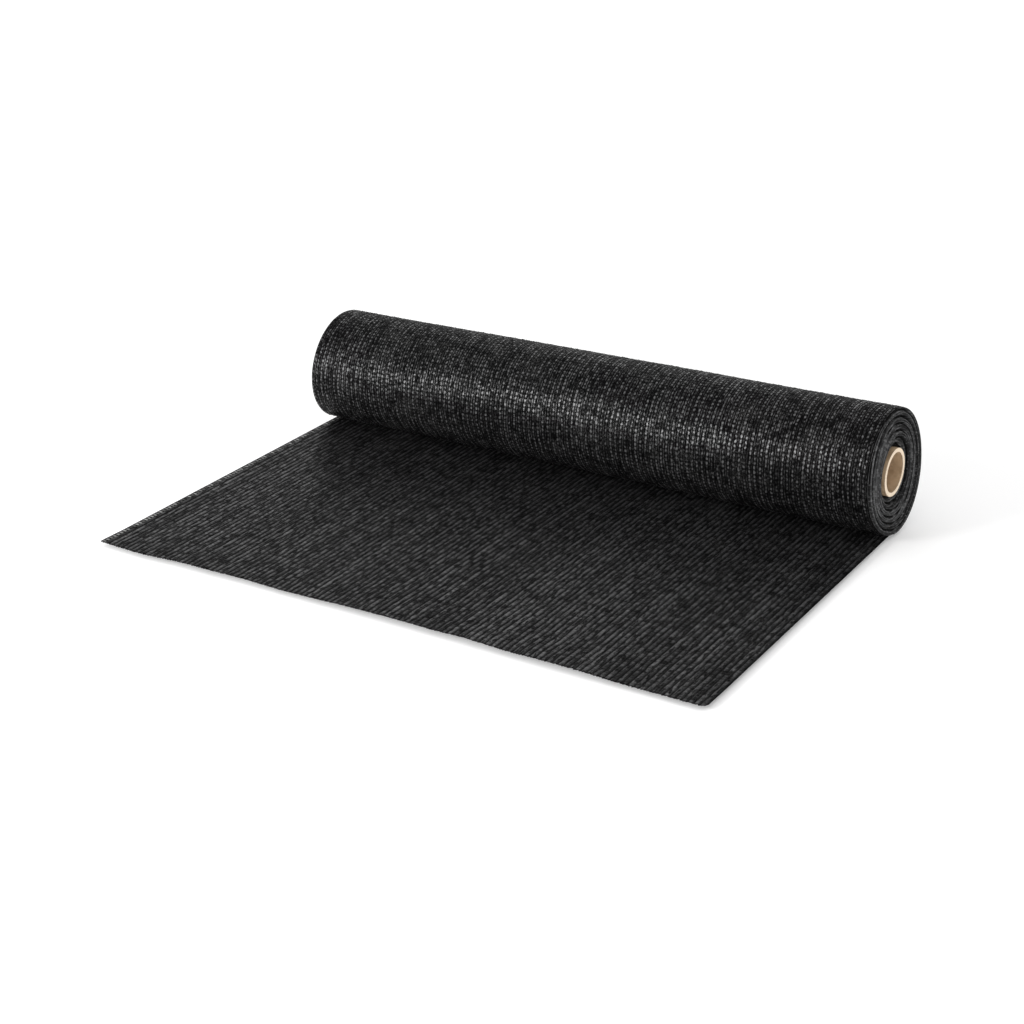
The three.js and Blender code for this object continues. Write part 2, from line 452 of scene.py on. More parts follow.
def lint_group() -> Tree:
    """Dust and short light fibres: the narrow peaks of a fine noise, thinned by a broad one.

    Returns:
        A group that puts out a mask.
    """
    tree, w, given, put = new_group(
        "Lint",
        {"Vector": ("NodeSocketVector", None), "Scale": ("NodeSocketFloat", 700.0),
         "Amount": ("NodeSocketFloat", 0.5)},
        {"Mask": "NodeSocketFloat"},
    )
    fine = w.node("ShaderNodeTexNoise", {"Vector": given["Vector"], "Scale": given["Scale"],
                                         "Detail": 2.0}).outputs[0]
    broad = w.noise(given["Vector"], 24.0)
    peaks = w.step(w.times(fine, w.times_plus(broad, 0.5, 0.75)), 0.58, 0.72)
    w.feed(put["Mask"], w.times(peaks, given["Amount"], clamp=True))
    return tree


class Finish:
    """What all the finishes share: a fresh material with its shader."""

    @staticmethod
    def start(name: str, roughness: float, ior: float) -> tuple[Material, Wiring, bpy.types.Node]:
        """Makes a material with a plain shader.

        Args:
            name: the material's name.
            roughness: the shader's roughness where nothing else sets it.
            ior: its index of refraction.

        Returns:
            The material, its wiring and its shader.
        """
        material = bpy.data.materials.new(name)
        material.use_nodes = True
        w = Wiring(material.node_tree)
        shader = material.node_tree.nodes["Principled BSDF"]
        shader.inputs["Roughness"].default_value = roughness
        shader.inputs["IOR"].default_value = ior
        return material, w, shader


@dataclass(frozen=True)
class NettingFinish:
    """Black plastic netting: dull ridges of knit, glossy beads on chains, dust, and painted shade
    in the grooves and between beads.
    """

    name: str = "Shade netting, wound"
    ridge: Triple = (0.060, 0.060, 0.061)
    # groove is the colour of painted shade in the grooves between wales and between beads.
    groove: Triple = (0.0012, 0.0012, 0.0013)
    lint: Triple = (0.14, 0.137, 0.134)
    lint_scale: float = 700.0
    lint_amount: float = 0.3
    crinkle_scale: float = 480.0
    relief: float = 0.0009
    grain: float = 0.00022
    specular: float = 0.02
    coat_roughness: float = 0.37
    bead_share: float = 0.85
    tape_share: float = 0.25
    chain_width: float = 0.27
    tape_width: float = 0.15
    grain_share: float = 0.85
    gloss: float = 1.0
    # Strength and colour of painted glints on the beads of the left edge's first wale.
    painted_left_edge_glints: float = 0.0
    sway: float = 0.22
    painted_glint_colour: Triple = (0.30, 0.30, 0.295)
    wales: int = 115

    def material(self, knit: Tree, lint: Tree) -> Material:
        """Makes the material.

        Args:
            knit: the group that draws the stitches.
            lint: the group that draws dust and fibres.

        Returns:
            The finished material.
        """
        material, w, shader = Finish.start(self.name, 0.6, 1.5)
        shader.inputs["Specular IOR Level"].default_value = self.specular
        shader.inputs["Coat Roughness"].default_value = self.coat_roughness
        place = w.node("ShaderNodeUVMap", uv_map=PATTERN_MAP).outputs[0]
        whole = w.node("ShaderNodeTexCoord").outputs["Object"]
        stitches = w.node("ShaderNodeGroup", {}, node_tree=knit)
        w.feed(stitches.inputs["Vector"], place)
        w.feed(stitches.inputs["Chain Width"], self.chain_width)
        w.feed(stitches.inputs["Tape Width"], self.tape_width)
        w.feed(stitches.inputs["Sway"], self.sway)
        out = stitches.outputs
        across = w.node("ShaderNodeSeparateXYZ", {0: place}).outputs[0]
        from_edge = w.math("MINIMUM", across, w.less(float(self.wales), across))
        patch = w.step(w.noise(whole, 9.0, 3.0), 0.3, 0.7)
        # The level picks the ridge colour on chains, beads and tapes and the painted shade colour
        # in the grooves and between beads; chance, grain, wale chance and patch change the tone at
        # random.
        beaded = w.times_plus(out["Bead"], self.bead_share, 1.0 - self.bead_share)
        level = w.times(out["Chain"], beaded)
        level = w.times_plus(out["Tape"], self.tape_share, level)
        level = w.times(level, w.times_plus(out["Dash"], -0.9, 1.0))
        level = w.times(level, w.times_plus(out["Chance"], 1.2, 0.4))
        grain = w.times_plus(out["Grain"], 2.0 * self.grain_share, 1.1 - self.grain_share)
        level = w.times(level, grain)
        level = w.times(level, w.times_plus(out["Wale Chance"], 0.8, 0.6))
        level = w.times(level, w.times_plus(patch, 0.2, 0.9))
        # Painted shade: the level falls to nothing within a third of a wale of each side edge.
        level = w.times(level, w.step(from_edge, 0.0, 0.3))
        raised = w.math("MINIMUM", level, 1.0)
        base = w.colour(raised, colour_of(*self.groove), colour_of(*self.ridge))
        # Painted glints: light beads along the left edge's first wale.
        outermost = w.step(across, 0.8, 1.1, self.painted_left_edge_glints, 0.0)
        inside = w.step(across, 0.3, 0.5)
        shown = w.times(out["Bead"], w.times_plus(out["Chance"], 1.0, 0.1))
        painted_edge_glint = w.times(outermost, w.times(inside, shown), clamp=True)
        base = w.colour(painted_edge_glint, base, colour_of(*self.painted_glint_colour))
        dust = w.dust(lint, self.lint_scale, self.lint_amount)
        base = w.colour(dust, base, colour_of(*self.lint))
        w.feed(shader.inputs["Base Color"], base)
        w.feed(shader.inputs["Roughness"], w.times_plus(out["Chance"], 0.2, 0.5))
        w.feed(shader.inputs["Coat Weight"], w.times(level, self.gloss, clamp=True))
        coarse = w.node("ShaderNodeBump", {"Distance": self.relief, "Height": out["Height"]})
        crinkle = w.noise(whole, self.crinkle_scale, 3.0, 0.6)
        fine = w.node("ShaderNodeBump", {"Distance": self.grain, "Height": crinkle,
                                         "Normal": coarse.outputs[0]})
        w.feed(shader.inputs["Normal"], fine.outputs[0])
        return material


@dataclass(frozen=True)
class TurnEdgeFinish:
    """The knitted edge of each turn at the roll's ends: dull, with painted light and shade in bands
    of turns, painted shade in its clefts, grooves and the recess round the core, and painted glints
    on loops.
    """

    name: str = "Netting turn edges"
    # edge and dark are the lit and the shaded tone of painted light and shade in bands of turns;
    # deep is painted shade in the clefts, the grooves between turns and the recess near the core;
    # loops is the colour of painted glints.
    edge: Triple = (0.105, 0.105, 0.107)
    dark: Triple = (0.018, 0.018, 0.0185)
    deep: Triple = (0.0015, 0.0015, 0.0015)
    loops: Triple = (0.16, 0.16, 0.16)
    lint: Triple = (0.13, 0.127, 0.124)
    lint_scale: float = 900.0
    lint_amount: float = 0.2
    relief: float = 0.0006
    specular: float = 0.03
    step_turn: float = 2.4
    hollow_from: float = 31.0
    turns: float = 36.0
    bulges: int = 6
    wander: float = 0.8
    seam_angle: float = -1.6143
    full_angle: float = 6.2767

    def material(self, lint: Tree) -> Material:
        """Makes the material. Its map counts turns from the seam along U, and strips along V.

        The loops that have gone by at a turn are 165 times the turn less 1.35 times its square,
        since the turns get smaller inwards. The clefts between groups of turns lie where the
        roll's own spiral wave is lowest. The clefts, the grooves between turns, the recess near the
        core and the step of the slipped outer turns are painted shade; bands of turns are painted
        light and shade, and light loops are painted glints.

        Args:
            lint: the group that draws dust and fibres.

        Returns:
            The finished material.
        """
        material, w, shader = Finish.start(self.name, 0.6, 1.5)
        shader.inputs["Specular IOR Level"].default_value = self.specular
        place = w.node("ShaderNodeUVMap", uv_map=PATTERN_MAP).outputs[0]
        whole = w.node("ShaderNodeTexCoord").outputs["Object"]
        axes = w.node("ShaderNodeSeparateXYZ", {0: place})
        turns, strips = axes.outputs[0], axes.outputs[1]
        loops = w.times(turns, w.times_plus(turns, -1.35, 165.0))
        crown = w.math("SINE", w.times(w.math("FRACT", strips), math.pi))
        depth = w.node("ShaderNodeCombineXYZ", {0: turns, 1: 0.5, 2: 0.5}).outputs[0]
        # Painted light and shade: noise over the turns picks lit and shaded bands.
        painted_light_bands = w.step(w.noise(depth, 0.85, 3.0, 0.65), 0.36, 0.56)
        spin = w.times_plus(turns, self.full_angle, self.seam_angle)
        sway = w.times(w.math("SINE", w.times(spin, 2.0)), self.wander / TURN)
        spiral = w.times_plus(turns, -self.bulges / self.turns, float(self.bulges))
        wave = w.math("FRACT", w.math("ADD", w.times_plus(spin, -1.0 / TURN, spiral), sway))
        # Painted shade in the clefts between groups of turns, and fainter at each wave's top.
        from_cleft = w.away(wave, 0.5)
        cleft = w.step(from_cleft, 0.14, 0.24, 1.0, 0.0)
        painted_shallow_cleft_shade = w.step(from_cleft, 0.38, 0.48, 0.0, 0.6)
        loop, strip = w.math("FLOOR", loops), w.math("FLOOR", strips)
        cell = w.node("ShaderNodeCombineXYZ", {0: loop, 1: strip}).outputs[0]
        chance = w.node("ShaderNodeTexWhiteNoise", {"Vector": cell}, noise_dimensions="2D")
        bead = w.math("SINE", w.times(w.math("FRACT", loops), math.pi))
        # Painted glints: light dots on loops picked by chance, stronger in the lit bands.
        painted_loop_glints = w.times(w.step(chance.outputs["Value"], 0.70, 0.92), w.step(bead, 0.5, 0.95))
        painted_loop_glints = w.times(painted_loop_glints, w.times_plus(painted_light_bands, 0.7, 0.3))
        patch = w.noise(whole, 90.0, 3.0)
        base = w.colour(painted_light_bands, colour_of(*self.dark), colour_of(*self.edge))
        # Painted shade in the groove between two turns' edges, where the crown falls off.
        base = w.colour(w.step(crown, 0.05, 0.75), colour_of(*self.deep), base)
        uneven = w.times_plus(chance.outputs["Value"], 0.9, 0.55)
        shade = w.times(w.times_plus(patch, 1.2, 0.4), uneven)
        # Painted shadow at the step where the slipped outer turns end: the tone falls to a
        # twentieth there.
        slipped = w.away(turns, self.step_turn)
        shade = w.times(shade, w.step(slipped, 0.25, 0.6, 0.05, 1.0))
        tone = w.node("ShaderNodeCombineColor", {0: shade, 1: shade, 2: shade}).outputs[0]
        base = w.colour(1.0, base, tone, "MULTIPLY")
        base = w.colour(painted_loop_glints, base, colour_of(*self.loops))
        # Painted shade in the recess near the core, and in the clefts.
        painted_hollow_shade = w.step(turns, self.hollow_from, self.turns - 2.0)
        dark = w.math("MAXIMUM", painted_hollow_shade, w.math("MAXIMUM", cleft, painted_shallow_cleft_shade))
        base = w.colour(dark, base, colour_of(*self.deep))
        dust = w.dust(lint, self.lint_scale, self.lint_amount)
        base = w.colour(dust, base, colour_of(*self.lint))
        w.feed(shader.inputs["Base Color"], base)
        w.feed(shader.inputs["Roughness"], w.times_plus(chance.outputs["Value"], 0.25, 0.45))
        height = w.math("ADD", w.times(bead, 0.6), w.noise(whole, 700.0, 3.0, 0.6))
        bump = w.node("ShaderNodeBump", {"Distance": self.relief, "Height": height})
        w.feed(shader.inputs["Normal"], bump.outputs[0])
        return material


@dataclass(frozen=True)
class CardboardFinish:
    """Wound kraft paper: brown, matt, with fibres and the spiral joint of its outermost strip."""

    name: str = "Kraft core"
    paper: Triple = (0.56, 0.40, 0.25)
    darker: Triple = (0.36, 0.24, 0.14)
    fibres: Triple = (0.55, 0.42, 0.28)
    gap: Triple = (0.16, 0.10, 0.06)
    relief: float = 0.0003
    joint_pitch: float = 0.118

    def material(self) -> Material:
        """Makes the material. Its map has the share of a turn along U and metres along V.

        Returns:
            The finished material.
        """
        material, w, shader = Finish.start(self.name, 0.82, 1.45)
        place = w.node("ShaderNodeUVMap", uv_map=PATTERN_MAP).outputs[0]
        axes = w.node("ShaderNodeSeparateXYZ", {0: place})
        whole = w.node("ShaderNodeTexCoord").outputs["Object"]
        windings = w.math("DIVIDE", axes.outputs[1], self.joint_pitch)
        helix = w.math("FRACT", w.less(windings, axes.outputs[0]))
        joint = w.step(w.away(helix, 0.5), 0.0, 0.012, 1.0, 0.0)
        slanted = w.node("ShaderNodeMapping",
                         {"Vector": whole, "Scale": (260.0, 900.0, 900.0)}).outputs[0]
        fibre = w.noise(slanted, 1.0, 3.0, 0.6)
        mottle = w.noise(whole, 55.0, 4.0, 0.6)
        base = w.colour(w.step(mottle, 0.3, 0.7), colour_of(*self.darker), colour_of(*self.paper))
        base = w.colour(w.step(fibre, 0.45, 0.75, 0.0, 0.35), base, colour_of(*self.fibres))
        base = w.colour(w.times(joint, 0.5), base, colour_of(*self.gap))
        w.feed(shader.inputs["Base Color"], base)
        w.feed(shader.inputs["Roughness"], w.step(fibre, 0.3, 0.7, 0.72, 0.92))
        height = w.less(w.times(fibre, 0.5), w.times(joint, 0.8))
        bump = w.node("ShaderNodeBump", {"Distance": self.relief, "Height": height})
        w.feed(shader.inputs["Normal"], bump.outputs[0])
        return material


@dataclass(frozen=True)
class CutCardFinish:
    """The sawn end of the core: pale, layered paper."""

    name: str = "Kraft core cut end"
    pale: Triple = (0.90, 0.75, 0.58)
    glue: Triple = (0.70, 0.54, 0.37)
    plies: float = 9.0
    relief: float = 0.0002

    def material(self) -> Material:
        """Makes the material. Its map has the share of a turn along U and of the wall along V.

        Returns:
            The finished material.
        """
        material, w, shader = Finish.start(self.name, 0.88, 1.45)
        place = w.node("ShaderNodeUVMap", uv_map=PATTERN_MAP).outputs[0]
        axes = w.node("ShaderNodeSeparateXYZ", {0: place})
        whole = w.node("ShaderNodeTexCoord").outputs["Object"]
        wobble = w.noise(whole, 120.0, 2.0)
        ring = w.math("FRACT", w.math("ADD", w.times(axes.outputs[1], self.plies), wobble))
        line = w.step(w.away(ring, 0.5), 0.0, 0.22, 1.0, 0.0)
        fuzz = w.noise(whole, 800.0, 4.0, 0.7)
        base = w.colour(w.times(line, 0.25), colour_of(*self.pale), colour_of(*self.glue))
        base = w.colour(w.step(fuzz, 0.35, 0.6, 0.25, 0.0), base, colour_of(*self.glue))
        w.feed(shader.inputs["Base Color"], base)
        w.feed(shader.inputs["Roughness"], w.step(fuzz, 0.3, 0.7, 0.8, 0.95))
        height = w.times_plus(line, -0.15, fuzz)
        bump = w.node("ShaderNodeBump", {"Distance": self.relief, "Height": height})
        w.feed(shader.inputs["Normal"], bump.outputs[0])
        return material


# The netting


@dataclass(frozen=True)
class Knit:
    """The netting's knit: 115 wales over its width, each a chain of loops and a bundle of tapes."""

    width: float = 1.0
    wales: int = 115
    stitch: float = 0.0070
    across: tuple[float, ...] = (0.0, CHAIN_AT, SADDLE_AT, TAPES_AT)
    along: tuple[float, ...] = (0.0, 0.50)
    chain_height: float = 0.85 * MM
    tape_height: float = 0.55 * MM
    saddle_height: float = 0.22 * MM
    dip: float = 0.45
    chance_height: float = 0.13 * MM
    wander: float = 0.75 * MM

    def columns(self) -> Array:
        """Place of each column of points, in wales from the left edge: four to a wale."""
        starts = np.arange(self.wales)[:, None]
        return np.append((starts + np.array(self.across)).ravel(), float(self.wales))

    def rows(self, stitches: int) -> Array:
        """Place of each row of points, in stitches from the first: two to a stitch."""
        starts = np.arange(stitches)[:, None]
        return np.append((starts + np.array(self.along)).ravel(), float(stitches))

    def relief(self, rows: Array, seed: int) -> Array:
        """Height of the knit above the bottom of its grooves.

        Across a wale the columns are the groove, the chain, the saddle and the tapes. The chain
        dips by a share of its height between two stitches. Chain and tapes are multiplied by one
        plus chance shares for the stitch and the wale, and by a broad drift. The tapes also drift
        along their wale.

        Args:
            rows: place of each row of points, in stitches.
            seed: picks the chance values.

        Returns:
            Heights in metres, one to a row and column of points.
        """
        chance = np.random.default_rng(seed)
        columns = self.columns()
        steps = len(self.along)
        row = np.arange(len(rows))
        wale = np.minimum((columns + 1e-6).astype(int), self.wales - 1)
        stitch = row // steps
        sizes = (stitch[-1] + 1, self.wales)
        cell = np.ix_(stitch, wale)
        tall = (1 + 0.22 * chance.standard_normal(sizes))[cell]
        own = (self.chance_height * chance.standard_normal(sizes))[cell]
        wale_tall = (1 + 0.18 * chance.standard_normal(self.wales))[wale][None, :]
        broad = 0.95 + 0.25 * drift(columns[None, :] / 7.0, rows[:, None] / 6.0, seed + 1)
        run = 1 + 0.35 * drift(wale[None, :] * 0.83, rows[:, None] / 3.0, seed + 2)
        between = (row % steps == 0)[:, None]
        chain = self.chain_height * tall * np.where(between, 1 - self.dip, 1.0)
        tape = self.tape_height * run
        kind = np.append(np.tile(np.arange(len(self.across)), self.wales), 0)[None, :]
        parts = [chain, self.saddle_height, tape]
        height = np.select([kind == 1, kind == 2, kind == 3], parts, 0.0)
        height = height * wale_tall * broad + np.where(kind > 0, own, 0.0)
        return np.maximum(height, 0.0)

    def sway(self, rows: Array, seed: int) -> tuple[Array, Array]:
        """How far the chains stray from straight, sideways and along themselves.

        Both are drifts over a few wales and stitches, faded out at the borders.

        Args:
            rows: place of each row of points, in stitches.
            seed: picks the chance values.

        Returns:
            The shifts across and along, in metres.
        """
        columns = self.columns()[None, :]
        place = rows[:, None]
        fade = ease(np.minimum(columns, self.wales - columns) / 5.0)
        ends = ease(np.minimum(place - rows[0], rows[-1] - place) / 3.0)
        sideways = drift(columns / 6.0, place / 9.0, seed)
        sideways = sideways + 0.45 * drift(columns, place / 4.0, seed + 1)
        along = drift(columns / 5.0, place / 12.0, seed + 2)
        along = along + 0.5 * drift(columns / 1.3, place / 15, seed + 3)
        return self.wander * sideways * fade * ends, 1.4 * MM * along * fade * ends


@dataclass(frozen=True)
class RollEnd:
    """One end of the roll: how it sits, slants and leans, and how far its outer turns slipped."""

    side: Side
    set_back: float
    slant: float
    lean: float
    outer_turns: float
    seed: int


@dataclass
class WoundRoll:
    """The netting wound on its core: its outermost turn, and the edges of all turns at each end."""

    knit: Knit
    left_section: Triple = (0.0895, 0.0925, -0.0020)
    right_section: Triple = (0.0872, 0.0986, 0.0057)
    ends: tuple[RollEnd, ...] = (
        RollEnd(Side.LEFT, 2.8 * MM, 0.021, 0.056, 0.0, 41),
        RollEnd(Side.RIGHT, 1.6 * MM, 0.064, -0.060, -3.4 * MM, 57),
    )
    mean_radius: float = 0.092
    layer: float = 1.5 * MM
    lying_gap: float = 0.3 * MM
    settle: float = 1.0 * MM
    seam_y: float = -4.0 * MM
    seam_step: float = 0.6 * MM
    stitches_round: int = 83
    turns: int = 36
    slip_middle: float = 3.35
    slip_spread: float = 1.5
    slip_turns: float = 2.1
    dish: float = 9.0 * MM
    dish_reach: float = 0.34
    bulges: int = 6
    bulge_height: float = 1.3 * MM
    bulge_wander: float = 0.8
    cleft: float = 4.2 * MM
    cleft_width: float = 0.65
    bore_radius: float = 0.03735
    own_drift: float = 0.35 * MM
    group_drift: float = 0.9 * MM
    fine_drift: float = 0.16 * MM
    rim_stand: float = 0.3 * MM
    groove_depth: float = 1.5 * MM
    throat_gap: float = 0.2 * MM
    throat_depth: float = 4 * MM
    straight_share: float = 0.75
    sink: float = 0.55 * MM
    seam_angle: float = field(init=False)
    full_angle: float = field(init=False)

    def __post_init__(self) -> None:
        """Works out where the outermost turn starts and how far round it goes."""
        self.seam_angle = -math.pi / 2 + math.asin(self.seam_y / self.mean_radius)
        self.full_angle = TURN - self.seam_step / self.mean_radius

    def core_axis(self, side: Side) -> tuple[float, float]:
        """Middle of the core at one end of the roll, as y and z."""
        return CORE_LEFT if side is Side.LEFT else CORE_RIGHT

    def section(self, across: Array) -> tuple[Array, Array, Array]:
        """Half depth, half height and middle of the roll at a place across it, from -1 to 1."""
        share = (np.asarray(across) + 1) / 2
        return tuple(low + (high - low) * share
                     for low, high in zip(self.left_section, self.right_section))

    def skin(self, across: Array, turn: Array, lift: Array) -> tuple[Array, Array]:
        """A point on the outer turns, where the section is an ellipse that winds inwards.

        y is the section's middle plus the half depth times the cosine of the angle, and z the
        middle's height plus the half height times its sine, both less one layer for a whole turn.
        The lift is along the spoke. Underneath, the cloth lies on the floor, and in front of the
        seam on the loose end.

        Args:
            across: place across the width, from -1 to 1.
            turn: turns from the seam, up the back and over the top.
            lift: height above the section, in metres.

        Returns:
            The y and z of each point, from the middle of the roll.
        """
        depth, height, middle = self.section(across)
        angle = self.angle(turn)
        wound = 1 - self.layer / self.mean_radius * np.minimum(turn, 1.0)
        y = middle + (depth * wound + lift) * np.cos(angle)
        z = height - self.settle + (height * wound + lift) * np.sin(angle)
        rest = np.where(turn < 0.5, 0.0, self.layer + self.lying_gap)
        return y, np.maximum(z, rest)

    def angle(self, turn: Array) -> Array:
        """Angle round the roll for a number of turns from the seam."""
        return self.seam_angle + self.full_angle * turn

    def slip(self, end: RollEnd, turn: Array) -> Array:
        """How far the outer turns stand out at one end: a hump round the roll that fades inwards.

        Args:
            end: the end of the roll.
            turn: turns from the seam.

        Returns:
            The shift in metres, outwards from the middle of the roll.
        """
        angle = self.seam_angle + self.full_angle * np.mod(turn, 1.0)
        fade = 1 - ease(2 * (turn - self.slip_turns))
        return end.outer_turns * hump((angle - self.slip_middle) / self.slip_spread) * fade

    def edge_out(self, end: RollEnd, turn: Array) -> Array:
        """How far each turn's edge stands out from the end of the roll.

        Groups of turns stand proud as one spiral wave, with a narrow cleft between two groups and
        half as deep a one at each wave's top. A dish lets the inner turns sit back near the core,
        and each turn drifts a little on its own. The outer turns also have slipped.

        Args:
            end: the end of the roll.
            turn: turns from the seam, inwards.

        Returns:
            The distance in metres.
        """
        share = 1 - turn / self.turns
        angle = self.angle(turn)
        spiral = TURN * self.bulges * share - angle
        wander = self.bulge_wander * np.sin(2 * angle)
        fade = ease(share * self.bulges) * ease((1 - share) * self.bulges)
        dish = self.dish * (1 - ease(share / self.dish_reach))
        own = drift(turn * 3.1, np.floor(turn) * 0.37, end.seed)
        group = drift(turn * 0.8, 0.5, end.seed + 1)
        fine = drift(turn * 23.0, 0.5, end.seed + 2)
        loose = self.own_drift * own + self.group_drift * group + self.fine_drift * fine
        phase = np.mod(spiral + wander, TURN) / self.cleft_width
        whole_wave = TURN / self.cleft_width
        shallow = np.maximum(hump(phase), hump(phase - whole_wave))
        cleft = hump(phase - whole_wave / 2) + 0.5 * shallow
        depth = self.cleft * (1 + 0.4 * drift(turn * 1.7, 0.5, end.seed + 3)) * cleft
        wave = self.bulge_height * np.cos(spiral + wander) - depth
        return wave * fade - dish + loose + self.slip(end, turn)

    def turn_place(self, end: RollEnd, turn: Array, inset: Array) -> tuple[Array, Array]:
        """The y and z of the spiral that the cloth follows at an end of the roll.

        The outermost turn is the skin's own. Further in, a spoke's share of the way from the
        skin to the core grows evenly with the turns.

        Args:
            end: the end of the roll.
            turn: turns from the seam, inwards.
            inset: how far below the outside of its turn the point lies, in turns.

        Returns:
            The y and z of each point, from the middle of the roll.
        """
        at = turn + inset
        across = np.full_like(turn, float(end.side.value))
        sunk = np.full_like(turn, -self.sink)
        outer_y, outer_z = self.skin(across, np.minimum(turn, 1.0), sunk)
        angle = self.angle(turn)
        depth, height, middle = self.section(end.side.value)
        wound = 1 - self.layer / self.mean_radius
        deep_y = middle + (depth * wound - self.sink) * np.cos(angle)
        deep_z = height - self.settle + (height * wound - self.sink) * np.sin(angle)
        first = turn < 1.0
        skin_y = np.where(first, outer_y, deep_y)
        skin_z = np.where(first, outer_z, deep_z)
        core_y, core_z = self.core_axis(end.side)
        bore_y = core_y + self.bore_radius * np.cos(angle)
        bore_z = core_z + self.bore_radius * np.sin(angle)
        inward = np.where(first, inset, at - 1.0) / (self.turns - 1)
        y = skin_y + (bore_y - skin_y) * inward
        z = skin_z + (bore_z - skin_z) * inward
        rest = np.where(turn < 0.5, 0.0, self.layer + self.lying_gap)
        rest = rest + 1.0 * MM * np.maximum(at - 1, 0.0)
        rest = rest + 0.8 * self.layer * np.where(first, inset, 0.0)
        return y, np.maximum(z, np.where(at < 6.0, rest, -1.0))

    def turned(self, end: RollEnd, y: Array, z: Array) -> Array:
        """Shift along X from the slant and the lean of an end."""
        _, height, middle = self.section(end.side.value)
        return end.slant * (y - middle) + end.lean * (z - height + self.settle)

    def rim_x(self, end: RollEnd, y: Array, z: Array, out: Array,
              share: Array) -> Array:
        """Place along X of a point at an end, with a share of the end's slant and lean."""
        straight = end.side.value * (self.knit.width / 2 - end.set_back + out)
        return straight + self.turned(end, y, z) * share

    def wrap(self, material: Material) -> bpy.types.Object:
        """Makes the outermost turn, with a ridge for every chain and a bead for every stitch.

        Args:
            material: the netting's material.

        Returns:
            The finished piece.
        """
        rows = self.knit.rows(self.stitches_round)
        columns = self.knit.columns()
        turn = (rows / rows[-1])[:, None]
        across = (2 * columns / self.knit.wales - 1)[None, :]
        relief = self.knit.relief(rows, 11)
        sideways, along = self.knit.sway(rows, 21)
        turn = turn + along / (TURN * self.mean_radius)
        lumps = 0.35 * MM * drift(across * 3.0 + 9, turn * 5.0, 31)
        edge = ease((np.abs(across) - 0.985) / 0.015)
        lift = relief - self.knit.chain_height + 0.45 * MM + lumps * (1 - edge)
        border = np.zeros_like(relief, dtype=bool)
        border[:, [0, -1]] = True
        lift = np.where(border, -self.sink, lift)
        y, z = self.skin(across, turn, lift)
        x = across * self.knit.width / 2 + sideways
        for end in self.ends:
            past = across * end.side.value - self.straight_share
            near = np.clip(past / (1 - self.straight_share), 0, 1)
            slipped = end.side.value * (self.slip(end, turn) - end.set_back)
            x = x + near * (slipped + self.turned(end, y, z))
        for end, column in zip(self.ends, (0, -1)):
            out = self.edge_out(end, turn[:, 0]) + self.rim_stand
            x[:, column] = self.rim_x(end, y[:, column], z[:, column], out, np.ones(len(rows)))
        points = np.stack([x + ROLL_MIDDLE[0], y + ROLL_MIDDLE[1], z], axis=-1)
        points = np.concatenate([points, points[:1]])
        v = np.append(rows, rows[-1] + 0.1)
        pattern = paired(columns[None, :], v[:, None])
        bake = pattern / np.array([self.knit.wales, v[-1]])
        surface = Surface("netting_outer_turn")
        surface.add(points, pattern, bake)
        return surface.build([material])

    def turn_edges(self, end: RollEnd, material: Material) -> bpy.types.Object:
        """Makes one end of the roll: the cloth's edge as one ridge that winds in to the core.

        Each turn's edge is a rounded ridge between two grooves. A groove lies below the lower of
        the two edges beside it, so that a turn that stands proud shows its side.

        Args:
            end: the end of the roll.
            material: the material of the turns' edges.

        Returns:
            The finished piece.
        """
        steps = len(self.knit.along) * self.stitches_round
        count = self.turns - 1
        round_share = self.knit.rows(self.stitches_round)[:-1] / self.stitches_round
        turn = np.append(round_share + np.arange(count + 1)[:, None], float(count + 1))
        out = self.edge_out(end, turn)
        before = np.concatenate([out[:steps], out[:-steps]])
        lower = np.minimum(out, before) - self.groove_depth
        groove = np.where(turn < 1.0, out + self.rim_stand, lower)
        rim_y, rim_z = self.turn_place(end, turn, np.zeros_like(turn))
        rim = self.at(end, rim_y, rim_z, groove)
        length = steps * count + 1
        profile = [rim[:length]]
        for inset, drop in ((0.3, 0.25 * MM), (0.68, 0.0)):
            y, z = self.turn_place(end, turn[:length], np.full(length, inset))
            profile.append(self.at(end, y, z, out[:length] - drop))
        profile.append(rim[steps:steps + length])
        strip = np.stack(profile, axis=1)
        stack = np.stack([strip[k * steps:(k + 1) * steps + 1] for k in range(count)])
        inner = np.linspace(0.0, 1.0, 4)
        strip_number = np.arange(count)[:, None, None]
        number = strip_number + np.linspace(0.0, 1.0, steps + 1)[None, :, None]
        pattern = paired(number, strip_number + inner)
        sweep = np.linspace(0.0, 1.0, steps + 1)[None, :, None]
        level = (strip_number + inner) / (count + 1)
        bake = paired(sweep, level)
        surface = Surface(f"netting_turn_edges_{end.side.name.lower()}")
        flip = end.side is Side.RIGHT
        surface.add(stack, pattern, bake, flip=flip)
        last = rim[steps * count:steps * count + steps + 1]
        angle = self.angle(turn[steps * count:steps * count + steps + 1])
        core_y, core_z = self.core_axis(end.side)
        throat_y = core_y + (self.bore_radius - self.throat_gap) * np.cos(angle)
        throat_z = core_z + (self.bore_radius - self.throat_gap) * np.sin(angle)
        throat = self.at(end, throat_y, throat_z, groove[-steps - 1:] - self.throat_depth)
        collar = np.stack([last, throat], axis=1)
        collar_map = paired(sweep[0], np.array([0.0, 0.02]))
        surface.add(collar, collar_map, collar_map + [0.0, 0.975], flip=flip)
        return surface.build([material])

